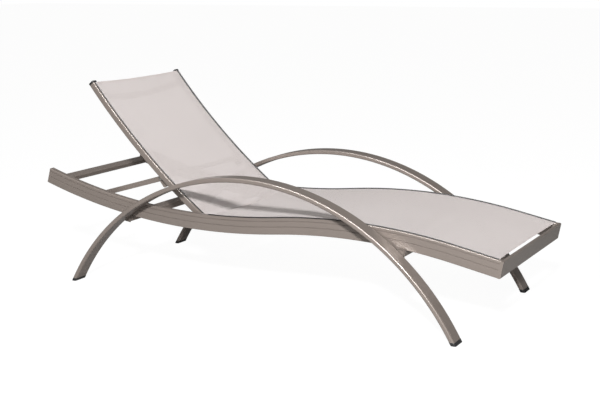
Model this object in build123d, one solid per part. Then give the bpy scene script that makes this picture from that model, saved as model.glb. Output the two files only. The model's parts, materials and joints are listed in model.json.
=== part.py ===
from build123d import *
import math
import os

# Sun lounger: two S-curved seat rails on a pair of arched arm bows, with a sling seat and a sling
# back that is held up by a prop frame on notched racks. All sizes are in millimetres.
# Stations run along +X from the head end. A rise is measured square to a rail's centreline,
# positive on the sling side. The back is measured by its arc length up from its pivot.

# Seat rail curve: valley arc, straight middle, crest arc, straight foot
head_x = 10.0
foot_x = 1992.0
valley_x = 790.0
valley_z = 300.7
valley_radius = 2633.0
middle_run = 65.0
middle_slope_deg = 6.42
crest_radius = 2329.0
foot_slope_deg = 10.7

# Seat rail extrusion
rail_height = 62.5
rail_width = 25.0
rail_wall = 1.8
rail_corner = 1.5
rail_outer_y = 319.5
line_width = 1.4
line_depth = 0.8
upper_line_rise = 20.0
lower_line_rise = -1.5

# Keder channel that all four side rails share
channel_radius = 3.4
channel_drop = 6.75
channel_lip = 2.0
channel_slot = 2.4
channel_sides = 8

# Slings with their beaded edges and the cords inside the beads
sling_thickness = 1.2
bead_clearance = 0.3
bead_wall = 1.2
cord_clearance = 0.05
cord_steps = 6
seat_sling_start_x = 812.0
seat_sling_end_gap = 17.0
seat_sag = 8.0
back_sling_start = 14.0
back_sling_end_gap = 6.0
back_sag = 6.0

# Arm bows: one flat tube each, an arc of a circle that stands on the ground at both ends
bow_x = 1020.0
bow_centre_drop = 471.0
bow_outer_radius = 975.0
bow_width = 64.0
bow_thickness = 18.0
bow_corner = 6.0
bow_corner_steps = 3
bow_wall = 1.8
bow_gap = 6.0

# Foot caps
cap_height = 12.0
cap_plug_length = 18.0
plug_clearance = 0.2

# Clearance of bolts, screws and rivets in their holes
hole_clearance = 0.1

# Stretchers between the bows, under the seat rails
stretcher_width = 40.0
stretcher_height = 25.0
stretcher_corner = 2.0
tube_wall = 1.6
rear_stretcher_x = 427.0
front_stretcher_x = 1634.0
seat_gap = 0.1

# Bolts through the stretchers into the rails
bolt_radius = 4.0
bolt_head_radius = 7.0
bolt_head_height = 4.0
bolt_nut_radius = 6.5
bolt_nut_height = 6.0
bolt_tip = 2.0

# Bars across the seat frame
head_bar_x = 60.0
head_bar_width = 38.0
head_bar_height = 20.0
bar_corner = 2.0
foot_bar_thickness = 12.0
foot_bar_corner = 2.0
lumbar_bar_x = 832.0
lumbar_bar_width = 30.0
lumbar_bar_height = 20.0
lumbar_bar_rise = -6.0
seat_bow_xs = (1180.0, 1560.0)
seat_bow_width = 38.0
seat_bow_height = 16.0
seat_bow_rise = -2.0
seat_bow_sagitta = 45.0

# Rubber bumpers that the flat back lies on
bumper_height = 5.0
bumper_length = 26.0
bumper_width = 18.0
bumper_corner = 3.0

# End caps of the side rails
end_cap_thickness = 2.5
end_plug_length = 14.0
heel_plug_length = 5.0

# Back frame
pivot_x = 779.3
pivot_z = 303.0
back_slope_deg = 35.6
back_radius = 2792.5
back_length = 750.0
back_tail = 14.0
back_depth = 24.0
back_width = 24.0
pivot_gap = 4.2
top_bar_end_gap = 58.0
top_bar_station = back_length - top_bar_end_gap
top_bar_width = 26.0
top_bar_height = 12.0
top_bar_rise = -5.0
top_bar_sagitta = 50.0
waist_bar_station = 60.0
waist_bar_sagitta = 24.0

# Back pivot: bolt, flanged bush and nut
pivot_bolt_radius = 5.0
pivot_head_radius = 9.0
pivot_head_height = 4.0
pivot_head_gap = 0.3
bush_radius = 7.5
bush_flange_radius = 12.0
bush_flange_gap = 0.3
running_clearance = 0.05
pivot_nut_radius = 8.5
pivot_nut_height = 6.0
pivot_tip = 2.0

# Prop frame: two arms, a foot bar with stepped end pins, and its ears under the back rails
prop_station = 262.0
prop_drop = 28.0
prop_foot_x = 258.0
prop_foot_rise = 2.0
arm_width = 21.0
arm_thickness = 5.5
arm_gap = 0.5
foot_bar_radius = 8.0
foot_bar_wall = 1.5
foot_bar_end_gap = 6.0
end_pin_radius = 5.0
end_pin_gap = 3.0
end_pin_plug = 18.0
ear_thickness = 4.0
ear_rail_radius = 7.0
ear_rail_rise = -5.0
ear_rear_reach = 18.0
ear_front_reach = 42.0
ear_eye_radius = 11.0
ear_lobe_reach = 30.0
ear_lobe_drop = 36.0
ear_lobe_radius = 9.0
prop_pin_radius = 4.0
prop_pin_head_radius = 7.0
prop_pin_head_height = 2.8
prop_pin_gap = 0.2
ear_rivet_radius = 2.4
ear_rivet_head_radius = 4.6
ear_rivet_head_height = 1.8

# Notched racks inside the seat rails
rack_thickness = 8.0
rack_start_x = 192.0
rack_end_x = 380.0
rack_depth = 20.0
rack_clearance = 1.2
notch_pitch = 34.5
notch_radius = 5.3
notch_sink = 0.8
notches_behind = 1
notches_ahead = 3
rack_screw_radius = 2.5
rack_screw_head_radius = 4.5
rack_screw_head_height = 2.4
rack_screw_inset = 17.0
rack_screw_tip = 3.0

# One overrun serves every cut
overrun = 40.0

# Derived sizes
middle_slope = math.radians(middle_slope_deg)
foot_slope = math.radians(foot_slope_deg)
back_slope = math.radians(back_slope_deg)
middle_start_x = valley_x + valley_radius * math.sin(middle_slope)
middle_start_z = valley_z + valley_radius * (1 - math.cos(middle_slope))
middle_end_x = middle_start_x + middle_run * math.cos(middle_slope)
middle_end_z = middle_start_z + middle_run * math.sin(middle_slope)
crest_x = middle_end_x + crest_radius * math.sin(middle_slope)
crest_z = middle_end_z + crest_radius * (1 - math.cos(middle_slope))
foot_start_x = crest_x + crest_radius * math.sin(foot_slope)
foot_start_z = crest_z - crest_radius * (1 - math.cos(foot_slope))
rail_mid_y = rail_outer_y - rail_width / 2
rail_inner_y = rail_outer_y - rail_width
channel_zone = channel_drop + channel_radius + rail_wall
seat_channel_y = rail_inner_y + channel_lip + channel_radius
seat_channel_rise = rail_height / 2 - channel_drop
back_outer_y = rail_inner_y - pivot_gap
back_mid_y = back_outer_y - back_width / 2
back_inner_y = back_outer_y - back_width
back_channel_y = back_inner_y + channel_lip + channel_radius
back_channel_rise = back_depth / 2 - channel_drop
bead_radius = channel_radius - bead_clearance
cord_hole_radius = bead_radius - bead_wall
bow_inner_y = rail_outer_y + bow_gap
bow_mid_y = bow_inner_y + bow_width / 2
bow_radius = bow_outer_radius - bow_thickness / 2
ear_inner_y = back_inner_y - ear_thickness
arm_outer_y = ear_inner_y - arm_gap
arm_inner_y = arm_outer_y - arm_thickness
across = Vector(0, 1, 0)


def seat_line(x):
    """Height and slope of the seat rails' centreline at station x."""
    if x < middle_start_x:
        slope = math.asin((x - valley_x) / valley_radius)
        return valley_z + valley_radius * (1 - math.cos(slope)), slope
    if x < middle_end_x:
        return middle_start_z + (x - middle_start_x) * math.tan(middle_slope), middle_slope
    if x < foot_start_x:
        slope = math.asin((crest_x - x) / crest_radius)
        return crest_z - crest_radius * (1 - math.cos(slope)), slope
    return foot_start_z - (x - foot_start_x) * math.tan(foot_slope), -foot_slope


def seat_at(x, rise=0.0, y=0.0):
    z, slope = seat_line(x)
    return Vector(x - rise * math.sin(slope), y, z + rise * math.cos(slope))


def seat_tangent(x):
    slope = seat_line(x)[1]
    return Vector(math.cos(slope), 0, math.sin(slope))


def seat_edges(x_from, x_to, rise, y=0.0):
    """The stretch of the seat curve between two stations, at one rise, as arcs and lines."""
    breaks = [x for x in (middle_start_x, middle_end_x, foot_start_x) if x_from < x < x_to]
    stops = [x_from, *breaks, x_to]
    edges = []
    for first, last in zip(stops, stops[1:]):
        halfway = (first + last) / 2
        straight = middle_start_x < halfway < middle_end_x or halfway > foot_start_x
        ends = seat_at(first, rise, y), seat_at(last, rise, y)
        if straight:
            edges.append(Line(*ends))
        else:
            edges.append(ThreePointArc(ends[0], seat_at(halfway, rise, y), ends[1]))
    return edges


def seat_cross_plane(x, rise=0.0):
    """Plane seen from the side: local x runs to the foot end, local y along the rise."""
    return Plane(seat_at(x, rise), x_dir=seat_tangent(x), z_dir=-across)


def back_at(station, rise=0.0, y=0.0):
    slope = back_slope + station / back_radius
    centre_x = pivot_x + back_radius * math.sin(back_slope)
    centre_z = pivot_z + back_radius * math.cos(back_slope)
    reach = back_radius - rise
    return Vector(centre_x - reach * math.sin(slope), y, centre_z - reach * math.cos(slope))


def back_down(station):
    slope = back_slope + station / back_radius
    return Vector(math.cos(slope), 0, -math.sin(slope))


def back_arc(top, bottom, rise, y=0.0):
    halfway = (top + bottom) / 2
    return ThreePointArc(back_at(top, rise, y), back_at(halfway, rise, y), back_at(bottom, rise, y))


def back_cross_plane(station, rise=0.0):
    """Plane seen from the side: local x runs down the back, local y along the rise."""
    return Plane(back_at(station, rise), x_dir=back_down(station), z_dir=-across)


def mirrored(shape):
    return mirror(shape, about=Plane.XZ)


def both_sides(*shapes):
    """One body of several solids: the given ones and their mirror images."""
    return Compound([*shapes, *(mirrored(shape) for shape in shapes)])


def rounded(width, height, corner, steps=1):
    """A rectangle whose corners turn in a few flats, so that a long sweep of it stays light."""
    points = []
    for quadrant in range(4):
        start = quadrant * math.pi / 2
        out = Vector(math.cos(start), math.sin(start)) + Vector(-math.sin(start), math.cos(start))
        centre = Vector(out.X * (width / 2 - corner), out.Y * (height / 2 - corner))
        for step in range(steps + 1):
            angle = start + step * math.pi / 2 / steps
            points.append(centre + Vector(math.cos(angle), math.sin(angle)) * corner)
    return make_face(Polyline(*points, close=True))


def hollow(width, height, corner, wall):
    return rounded(width, height, corner) - Rectangle(width - 2 * wall, height - 2 * wall)


def crosswise(plane, sketch, half_length):
    return extrude(plane * sketch, amount=half_length, both=True)


def rod(centre, radius, y_from, y_to):
    """A round bar along Y, from y_from to y_to."""
    plane = Plane(Vector(centre.X, y_from, centre.Z), x_dir=Vector(1, 0, 0), z_dir=across)
    return extrude(plane * Circle(radius), amount=y_to - y_from)


def plate(plane, sketch, y_from, y_to):
    """A flat plate square to Y, from y_from to y_to. The plane's z axis is -Y."""
    shape = extrude(plane * sketch, amount=y_from - y_to)
    return Pos(0, y_from, 0) * shape


# Keder rails
def cavity(width, height):
    """The hollow of a keder rail, below its channel."""
    low = rail_wall - height / 2
    high = height / 2 - channel_zone
    return low, high, width - 2 * rail_wall


def keder_section(width, height):
    """Rail section: local x outward, local y up. The channel opens on the inner side."""
    low, high, clear_width = cavity(width, height)
    channel_x = channel_lip + channel_radius - width / 2
    channel_y = height / 2 - channel_drop
    slot_length = channel_lip + channel_radius
    section = rounded(width, height, rail_corner)
    section -= Pos(0, (low + high) / 2) * Rectangle(clear_width, high - low)
    section -= Pos(channel_x, channel_y) * RegularPolygon(channel_radius, channel_sides)
    section -= Pos(channel_x - slot_length / 2, channel_y) * Rectangle(slot_length, channel_slot)
    return section


def seat_rail():
    section = keder_section(rail_width, rail_height)
    for rise in (upper_line_rise, lower_line_rise):
        section -= Pos(rail_width / 2, rise) * Rectangle(2 * line_depth, line_width)
    plane = Plane(seat_at(head_x, 0, rail_mid_y), x_dir=across, z_dir=seat_tangent(head_x))
    rail = sweep(plane * section, path=Wire(seat_edges(head_x, foot_x, 0, rail_mid_y)))
    pivot = Vector(pivot_x, 0, pivot_z)
    bore = pivot_bolt_radius + hole_clearance
    rail -= rod(pivot, bore, rail_inner_y - rail_wall, rail_inner_y + 2 * rail_wall)
    for x in (rear_stretcher_x, front_stretcher_x):
        rail -= stretcher_bolt_hole(x)
    for x in rack_screw_stations():
        rail -= rack_screw_hole(x)
    return rail


def back_rail():
    section = keder_section(back_width, back_depth)
    plane = Plane(back_at(back_length, 0, back_mid_y), x_dir=across, z_dir=back_down(back_length))
    rail = sweep(plane * section, path=Wire([back_arc(back_length, -back_tail, 0, back_mid_y)]))
    pivot = Vector(pivot_x, 0, pivot_z)
    rail -= rod(pivot, bush_radius, back_inner_y - overrun, back_outer_y + overrun)
    for reach in (-ear_rear_reach, ear_front_reach):
        rail -= ear_rivet_hole(reach)
    return rail


def rail_end_cap(end, outward, width, height, plug_length):
    """A moulded cap over a rail's end, with a plug that fits the rail's hollow."""
    low, high, clear_width = cavity(width, height)
    plane = Plane(end, x_dir=-across if outward.X < 0 else across, z_dir=outward)
    plug_width = clear_width - 2 * plug_clearance
    plug_height = high - low - 2 * plug_clearance
    cover = extrude(plane * rounded(width, height, rail_corner), amount=end_cap_thickness)
    plug_sketch = Pos(0, (low + high) / 2) * Rectangle(plug_width, plug_height)
    return cover + extrude(plane * plug_sketch, amount=-plug_length)


# Slings
def sling_section(half_width, sag):
    """A hanging web with a bead along each edge, open round the cord."""
    half = sling_thickness / 2
    lower = ThreePointArc((-half_width, -half), (0, -half - sag), (half_width, -half))
    upper = ThreePointArc((-half_width, half), (0, half - sag), (half_width, half))
    sides = [Line((x, -half), (x, half)) for x in (-half_width, half_width)]
    section = make_face([lower, upper, *sides])
    for x in (-half_width, half_width):
        section += Pos(x, 0) * RegularPolygon(bead_radius, channel_sides)
    for x in (-half_width, half_width):
        section -= Pos(x, 0) * RegularPolygon(cord_hole_radius, channel_sides)
    return section


def seat_sling_path(y=0.0, steps=1):
    end = foot_x - seat_sling_end_gap
    stops = [seat_sling_start_x + (end - seat_sling_start_x) * step / steps for step in range(steps + 1)]
    edges = []
    for first, last in zip(stops, stops[1:]):
        edges += seat_edges(first, last, seat_channel_rise, y)
    return Wire(edges)


def seat_sling_plane(y=0.0):
    origin = seat_at(seat_sling_start_x, seat_channel_rise, y)
    return Plane(origin, x_dir=across, z_dir=seat_tangent(seat_sling_start_x))


def back_sling_path(y=0.0, steps=1):
    top = back_length - back_sling_end_gap
    stops = [top + (back_sling_start - top) * step / steps for step in range(steps + 1)]
    return Wire([back_arc(a, b, back_channel_rise, y) for a, b in zip(stops, stops[1:])])


def back_sling_plane(y=0.0):
    top = back_length - back_sling_end_gap
    return Plane(back_at(top, back_channel_rise, y), x_dir=across, z_dir=back_down(top))


def seat_sling():
    return sweep(seat_sling_plane() * sling_section(seat_channel_y, seat_sag), path=seat_sling_path())


def back_sling():
    return sweep(back_sling_plane() * sling_section(back_channel_y, back_sag), path=back_sling_path())


def cord(plane, path):
    return sweep(plane * RegularPolygon(cord_hole_radius - cord_clearance, channel_sides), path=path)


# Arm bows, caps and stretchers
def bow_sweep(section):
    """Sweeps a section along the bow's circle, from below the ground to below the ground."""
    start = math.pi - math.asin((bow_centre_drop - overrun) / bow_radius)
    points = []
    for angle in (start, math.pi / 2, math.pi - start):
        x = bow_x + bow_radius * math.cos(angle)
        z = bow_radius * math.sin(angle) - bow_centre_drop
        points.append(Vector(x, bow_mid_y, z))
    tangent = Vector(math.sin(start), 0, -math.cos(start))
    plane = Plane(points[0], x_dir=across, z_dir=tangent)
    return sweep(plane * section, path=Wire([ThreePointArc(*points)]))


def arm_bow():
    section = rounded(bow_width, bow_thickness, bow_corner, bow_corner_steps)
    section -= rounded(bow_width - 2 * bow_wall, bow_thickness - 2 * bow_wall, bow_corner - bow_wall)
    return split(bow_sweep(section), bisect_by=Plane.XY.offset(cap_height), keep=Keep.TOP)


def slab(side, low, high):
    """A block on one side of the bow's middle, between two heights."""
    align = (Align.MIN if side > 0 else Align.MAX, Align.CENTER, Align.MIN)
    block = Box(bow_outer_radius, 2 * (bow_inner_y + bow_width), high - low, align=align)
    return Pos(bow_x, 0, low) * block


def foot_cap(side):
    """The moulded shoe of one leg, with a plug inside the tube."""
    inset = bow_wall + plug_clearance
    outer = bow_sweep(rounded(bow_width, bow_thickness, bow_corner, bow_corner_steps))
    inner = bow_sweep(rounded(bow_width - 2 * inset, bow_thickness - 2 * inset, bow_corner - inset))
    shoe = outer & slab(side, 0, cap_height)
    plug = inner & slab(side, cap_height / 2, cap_height + cap_plug_length)
    return shoe + plug


def stretcher_rise():
    return -rail_height / 2 - seat_gap - stretcher_height / 2


def stretcher_bolt_hole(x):
    plane = Plane(seat_at(x, stretcher_rise(), rail_mid_y), z_dir=seat_at(x, rail_wall) - seat_at(x))
    reach = stretcher_height / 2 + seat_gap + 2 * rail_wall
    shaft = extrude(plane * Circle(bolt_radius + hole_clearance), amount=reach)
    shaft += extrude(plane * Circle(bolt_radius + hole_clearance), amount=-stretcher_height)
    return shaft


def stretcher(x):
    section = hollow(stretcher_width, stretcher_height, stretcher_corner, tube_wall)
    bar = crosswise(seat_cross_plane(x, stretcher_rise()), section, bow_inner_y)
    hole = stretcher_bolt_hole(x)
    return bar - hole - mirrored(hole)


def frame_bolt(x):
    """A button-head bolt up through a stretcher, with its nut on the rail's floor."""
    up = seat_at(x, rail_wall) - seat_at(x)
    bottom = stretcher_rise() - stretcher_height / 2
    floor = rail_wall - rail_height / 2
    start = Plane(seat_at(x, bottom, rail_mid_y), z_dir=up)
    seat = Plane(seat_at(x, floor, rail_mid_y), z_dir=up)
    bolt = extrude(start * Circle(bolt_head_radius), amount=-bolt_head_height)
    bolt += extrude(start * Circle(bolt_radius), amount=floor - bottom + bolt_nut_height + bolt_tip)
    nut = extrude(seat * RegularPolygon(bolt_nut_radius, 6), amount=bolt_nut_height)
    return bolt + nut


# Bars of the seat frame
def head_bar():
    section = hollow(head_bar_width, head_bar_height, bar_corner, tube_wall)
    return crosswise(seat_cross_plane(head_bar_x), section, rail_inner_y)


def lumbar_bar():
    section = hollow(lumbar_bar_width, lumbar_bar_height, bar_corner, tube_wall)
    return crosswise(seat_cross_plane(lumbar_bar_x, lumbar_bar_rise), section, rail_inner_y)


def foot_bar():
    """The closed flat tube across the foot end, over both rails' ends."""
    plane = seat_cross_plane(foot_x)
    middle = Pos(foot_bar_thickness / 2, 0)
    outer = crosswise(plane, middle * rounded(foot_bar_thickness, rail_height, foot_bar_corner), rail_outer_y)
    core = Rectangle(foot_bar_thickness - 2 * rail_wall, rail_height - 2 * rail_wall)
    return outer - crosswise(plane, middle * core, rail_outer_y - rail_wall)


def bowed_bar(plane, width, height, sagitta, half_length):
    """A flat tube bent away from the sling, coped square against the rails' inner faces."""
    reach = half_length + overrun
    drop = sagitta * (reach / half_length) ** 2
    rear = plane.from_local_coords(Vector(0, -sagitta, 0))
    top = plane.from_local_coords(Vector(0, drop - sagitta, 0))
    path = ThreePointArc(Vector(top.X, -reach, top.Z), rear, Vector(top.X, reach, top.Z))
    start = Plane(path @ 0, x_dir=plane.x_dir, z_dir=path % 0)
    section = hollow(width, height, bar_corner, tube_wall)
    bar = sweep(start * section, path=Wire([path]))
    between = Box(2 * bow_outer_radius, 2 * half_length, 2 * bow_outer_radius)
    return bar & (Pos(plane.origin.X, 0, plane.origin.Z) * between)


def seat_bow(x):
    plane = seat_cross_plane(x, seat_bow_rise)
    return bowed_bar(plane, seat_bow_width, seat_bow_height, seat_bow_sagitta, rail_inner_y)


def bumper():
    rise = head_bar_height / 2
    sketch = Pos(0, bumper_height / 2) * rounded(bumper_width, bumper_height, bumper_corner / 2)
    pad = crosswise(seat_cross_plane(head_bar_x, rise), sketch, bumper_length / 2)
    return Pos(0, back_mid_y - bumper_corner, 0) * pad


# Racks
def rack_top_rise():
    return prop_foot_rise - end_pin_radius - rack_clearance


def rack_middle_rise():
    return rack_top_rise() - notch_radius - (rack_depth - notch_radius) / 2


def rack_screw_stations():
    return rack_start_x + rack_screw_inset, rack_end_x - rack_screw_inset


def rack_screw_hole(x):
    """The hole of one rack screw, through the rack and the rail's inner wall."""
    centre = seat_at(x, rack_middle_rise())
    start = rail_inner_y - 2 * rack_thickness
    return rod(centre, rack_screw_radius + hole_clearance, start, rail_inner_y + 2 * rail_wall)


def rack():
    top = rack_top_rise()
    bottom = top - rack_depth
    sides = [Line(seat_at(x, bottom), seat_at(x, top)) for x in (rack_start_x, rack_end_x)]
    upper = seat_edges(rack_start_x, rack_end_x, top)
    lower = seat_edges(rack_start_x, rack_end_x, bottom)
    blank = extrude(make_face([*upper, *sides, *lower]), amount=rack_thickness, dir=across)
    blank = Pos(0, rail_inner_y - rack_thickness, 0) * blank
    for step in range(-notches_behind, notches_ahead + 1):
        centre = seat_at(prop_foot_x + step * notch_pitch, top + notch_sink)
        blank -= rod(centre, notch_radius, rail_inner_y - overrun, rail_inner_y + overrun)
    for x in rack_screw_stations():
        blank -= rack_screw_hole(x)
    return blank


def rack_screw(x):
    centre = seat_at(x, rack_middle_rise())
    face = rail_inner_y - rack_thickness
    screw = rod(centre, rack_screw_head_radius, face - rack_screw_head_height, face)
    return screw + rod(centre, rack_screw_radius, face, rail_inner_y + rail_wall + rack_screw_tip)


# Back frame
def back_bar(station, sagitta):
    plane = back_cross_plane(station, top_bar_rise)
    return bowed_bar(plane, top_bar_width, top_bar_height, sagitta, back_inner_y)


def pivot_bolt():
    centre = Vector(pivot_x, 0, pivot_z)
    head_end = back_inner_y - pivot_head_gap
    shank_end = rail_inner_y + rail_wall + pivot_nut_height + pivot_tip
    bolt = rod(centre, pivot_head_radius, head_end - pivot_head_height, head_end)
    return bolt + rod(centre, pivot_bolt_radius, head_end, shank_end)


def pivot_nut():
    face = rail_inner_y + rail_wall
    plane = Plane(Vector(pivot_x, face, pivot_z), x_dir=Vector(1, 0, 0), z_dir=across)
    sketch = RegularPolygon(pivot_nut_radius, 6) - Circle(pivot_bolt_radius)
    return extrude(plane * sketch, amount=pivot_nut_height)


def pivot_bush():
    centre = Vector(pivot_x, 0, pivot_z)
    bush = rod(centre, bush_radius, back_inner_y, back_outer_y)
    bush += rod(centre, bush_flange_radius, back_outer_y, rail_inner_y - bush_flange_gap)
    bore = pivot_bolt_radius + running_clearance
    return bush - rod(centre, bore, back_inner_y - overrun, rail_inner_y + overrun)


# Prop frame
def prop_pivot():
    return back_at(prop_station, -prop_drop)


def prop_foot():
    return seat_at(prop_foot_x, prop_foot_rise)


def prop_arm():
    top, foot = prop_pivot(), prop_foot()
    plane = Plane((top + foot) * 0.5, x_dir=top - foot, z_dir=-across)
    arm = plate(plane, SlotCenterToCenter((top - foot).length, arm_width), arm_inner_y, arm_outer_y)
    arm -= rod(top, prop_pin_radius + running_clearance, arm_inner_y - overrun, arm_outer_y + overrun)
    return arm - rod(foot, foot_bar_radius, arm_inner_y - overrun, arm_outer_y + overrun)


def prop_foot_bar():
    half = arm_outer_y + foot_bar_end_gap / 2
    tube = rod(prop_foot(), foot_bar_radius, -half, half)
    return tube - rod(prop_foot(), foot_bar_radius - foot_bar_wall, -half - overrun, half + overrun)


def prop_end_pin():
    """The stepped plug in one end of the foot bar. Its pin rides over the rack."""
    shoulder = arm_outer_y + foot_bar_end_gap / 2
    plug = rod(prop_foot(), foot_bar_radius - foot_bar_wall, shoulder - end_pin_plug, shoulder)
    return plug + rod(prop_foot(), end_pin_radius, shoulder, rail_inner_y - end_pin_gap)


def ear_rivet_centre(reach):
    return back_cross_plane(prop_station).from_local_coords(Vector(reach, ear_rail_rise, 0))


def ear_rivet_hole(reach):
    start = ear_inner_y - ear_thickness
    bore = ear_rivet_radius + hole_clearance
    return rod(ear_rivet_centre(reach), bore, start, back_inner_y + 2 * rail_wall)


def prop_ear():
    """A plate riveted inside a back rail, with the prop's eye and a forward lobe below."""
    circles = [
        Pos(-ear_rear_reach, ear_rail_rise) * Circle(ear_rail_radius),
        Pos(ear_front_reach, ear_rail_rise) * Circle(ear_rail_radius),
        Pos(0, -prop_drop) * Circle(ear_eye_radius),
        Pos(ear_lobe_reach, -ear_lobe_drop) * Circle(ear_lobe_radius),
    ]
    outline = make_hull([edge for circle in circles for edge in circle.edges()])
    ear = plate(back_cross_plane(prop_station), outline, ear_inner_y, back_inner_y)
    bore = prop_pin_radius + hole_clearance
    ear -= rod(prop_pivot(), bore, ear_inner_y - overrun, back_inner_y + overrun)
    for reach in (-ear_rear_reach, ear_front_reach):
        ear -= ear_rivet_hole(reach)
    return ear


def prop_pin():
    """The rivet that carries an arm. The arm turns on it."""
    inner = arm_inner_y - prop_pin_gap
    pin = rod(prop_pivot(), prop_pin_radius, inner, back_inner_y)
    pin += rod(prop_pivot(), prop_pin_head_radius, inner - prop_pin_head_height, inner)
    return pin + rod(prop_pivot(), prop_pin_head_radius, back_inner_y, back_inner_y + prop_pin_head_height)


def ear_rivet(reach):
    centre = ear_rivet_centre(reach)
    rivet = rod(centre, ear_rivet_head_radius, ear_inner_y - ear_rivet_head_height, ear_inner_y)
    return rivet + rod(centre, ear_rivet_radius, ear_inner_y, back_inner_y + rail_wall)


def pair(nodes, name, shape):
    nodes[name + "_left"] = shape
    nodes[name + "_right"] = mirrored(shape)


def build():
    nodes = {}
    pair(nodes, "seat_rail", seat_rail())
    head_end = seat_at(head_x, 0, rail_mid_y)
    cap = rail_end_cap(head_end, -seat_tangent(head_x), rail_width, rail_height, end_plug_length)
    pair(nodes, "seat_rail_cap", cap)
    nodes["head_bar"] = head_bar()
    nodes["lumbar_bar"] = lumbar_bar()
    nodes["foot_end_bar"] = foot_bar()
    nodes["seat_bow_rear"] = seat_bow(seat_bow_xs[0])
    nodes["seat_bow_front"] = seat_bow(seat_bow_xs[1])
    pair(nodes, "head_bumper", bumper())
    pair(nodes, "rack", rack())
    nodes["rack_screws"] = both_sides(*(rack_screw(x) for x in rack_screw_stations()))
    nodes["seat_sling"] = seat_sling()
    path = seat_sling_path(seat_channel_y, cord_steps)
    pair(nodes, "seat_sling_cord", cord(seat_sling_plane(seat_channel_y), path))
    pair(nodes, "arm_bow", arm_bow())
    pair(nodes, "rear_foot_cap", foot_cap(-1))
    pair(nodes, "front_foot_cap", foot_cap(1))
    nodes["rear_stretcher"] = stretcher(rear_stretcher_x)
    nodes["front_stretcher"] = stretcher(front_stretcher_x)
    bolts = [frame_bolt(x) for x in (rear_stretcher_x, front_stretcher_x)]
    nodes["frame_bolts"] = both_sides(*bolts)
    nodes["pivot_bolts"] = both_sides(pivot_bolt())
    nodes["pivot_nuts"] = both_sides(pivot_nut())

    pair(nodes, "back_rail", back_rail())
    pair(nodes, "pivot_bush", pivot_bush())
    top_end = back_at(back_length, 0, back_mid_y)
    cap = rail_end_cap(top_end, -back_down(back_length), back_width, back_depth, end_plug_length)
    pair(nodes, "back_top_cap", cap)
    low_end = back_at(-back_tail, 0, back_mid_y)
    cap = rail_end_cap(low_end, back_down(-back_tail), back_width, back_depth, heel_plug_length)
    pair(nodes, "back_heel_cap", cap)
    nodes["back_top_bar"] = back_bar(top_bar_station, top_bar_sagitta)
    nodes["back_waist_bar"] = back_bar(waist_bar_station, waist_bar_sagitta)
    nodes["back_sling"] = back_sling()
    path = back_sling_path(back_channel_y, cord_steps)
    pair(nodes, "back_sling_cord", cord(back_sling_plane(back_channel_y), path))
    pair(nodes, "prop_ear", prop_ear())
    rivets = [ear_rivet(reach) for reach in (-ear_rear_reach, ear_front_reach)]
    nodes["ear_rivets"] = both_sides(*rivets)
    nodes["prop_pins"] = both_sides(prop_pin())

    pair(nodes, "prop_arm", prop_arm())
    nodes["prop_foot_bar"] = prop_foot_bar()
    pair(nodes, "prop_end_pin", prop_end_pin())
    return nodes


def middle_x():
    """Half way between the lowest head corner and the highest foot corner."""
    head = seat_at(head_x, -rail_height / 2) - seat_tangent(head_x) * end_cap_thickness
    foot = seat_at(foot_x, rail_height / 2) + seat_tangent(foot_x) * foot_bar_thickness
    return (head.X + foot.X) / 2


os.makedirs("parts", exist_ok=True)
origin_x = middle_x()
print("origin at station", round(origin_x, 3))
print("back pivot", pivot_x - origin_x, pivot_z)
print("prop pivot", prop_pivot() - Vector(origin_x, 0, 0))
print("prop foot", prop_foot() - Vector(origin_x, 0, 0))
for name, shape in build().items():
    export_step(Pos(-origin_x, 0, 0) * shape, f"parts/{name}.step")
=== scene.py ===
"""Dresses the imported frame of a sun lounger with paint, rails, bows, slings, stitching, welds and a stage."""

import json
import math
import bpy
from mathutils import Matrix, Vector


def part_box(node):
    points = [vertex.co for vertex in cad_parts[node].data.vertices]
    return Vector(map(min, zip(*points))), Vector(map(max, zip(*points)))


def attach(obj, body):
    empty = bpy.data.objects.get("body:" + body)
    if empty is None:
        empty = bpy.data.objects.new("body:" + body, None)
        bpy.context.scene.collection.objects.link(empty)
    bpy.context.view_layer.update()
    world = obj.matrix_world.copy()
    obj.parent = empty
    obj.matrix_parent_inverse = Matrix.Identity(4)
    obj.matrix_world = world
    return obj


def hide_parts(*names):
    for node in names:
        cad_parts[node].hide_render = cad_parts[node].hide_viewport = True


bl_info = {
    "name": "Sun Lounger Dresser",
    "version": (1, 0, 0),
    "blender": (4, 5, 0),
    "location": "View3D > Sidebar > Lounger",
    "description": "Builds the visible pieces of a sling sun lounger round its packed frame",
    "category": "Add Mesh",
}

import bmesh
import bpy
from mathutils import Matrix, Vector, noise

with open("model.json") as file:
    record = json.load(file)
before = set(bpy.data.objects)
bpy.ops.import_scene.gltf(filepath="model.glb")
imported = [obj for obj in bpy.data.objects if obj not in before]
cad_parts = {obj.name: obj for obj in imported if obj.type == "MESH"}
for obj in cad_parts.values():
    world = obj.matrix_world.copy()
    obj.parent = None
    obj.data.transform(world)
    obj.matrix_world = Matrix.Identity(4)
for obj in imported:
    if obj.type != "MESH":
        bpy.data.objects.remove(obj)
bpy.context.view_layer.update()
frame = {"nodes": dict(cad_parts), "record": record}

# X is 0 half way along the lounger, this far from the datum at its head end
DATUM = 1.003974
SIDES = (("left", 1), ("right", -1))

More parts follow.
